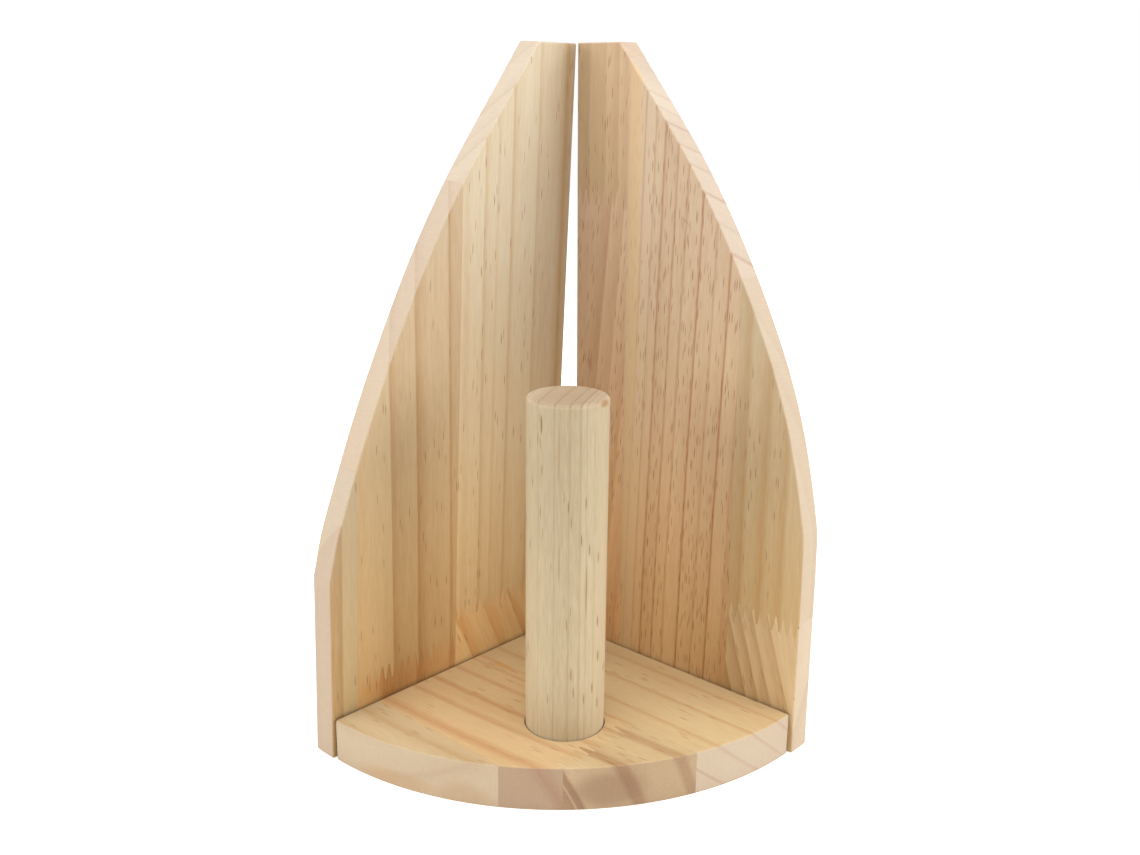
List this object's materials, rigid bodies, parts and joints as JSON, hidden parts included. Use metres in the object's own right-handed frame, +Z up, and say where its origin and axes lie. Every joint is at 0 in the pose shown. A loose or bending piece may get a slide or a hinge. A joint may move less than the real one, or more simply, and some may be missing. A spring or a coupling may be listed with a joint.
{
  "type": "paper towel holder",
  "caption": "Corner paper towel holder in glued-up pine: a quarter-round base, tall tapering side panels meeting in a V at the back, and an upright round peg for the roll.",
  "frame": {"origin": "middle of the assembly's footprint, on the surface it stands on, under the base", "axes": "+Z up, along the peg and the grain of the panels; -Y is the open front with the base's round edge; +Y is the back, where the two panels meet; +X is to the right seen from the front"},
  "size_m": [0.2234, 0.1504, 0.3102],
  "materials": {
    "base_pine": "sanded, unfinished pine",
    "left_panel_pine": "sanded, unfinished pine",
    "right_panel_pine": "sanded, unfinished pine",
    "peg_pine": "turned and sanded, unfinished pine",
    "screw_steel": "yellow zinc plated"
  },
  "bodies": {
    "root": {"base_right_stave": "base_pine", "base_middle_stave_rear": "base_pine", "base_middle_stave_front": "base_pine", "base_left_stave": "base_pine", "left_back_stave_lower": "left_panel_pine", "left_back_stave_upper": "left_panel_pine", "left_middle_stave_lower": "left_panel_pine", "left_middle_stave_upper": "left_panel_pine", "left_front_stave": "left_panel_pine", "right_back_stave_lower": "right_panel_pine", "right_back_stave_upper": "right_panel_pine", "right_middle_stave": "right_panel_pine", "right_front_stave_lower": "right_panel_pine", "right_front_stave_upper": "right_panel_pine", "peg": "peg_pine", "peg_screw": "screw_steel", "left_screw_back": "screw_steel", "left_screw_front": "screw_steel", "right_screw_back": "screw_steel", "right_screw_front": "screw_steel"}
  },
  "joints": []
}
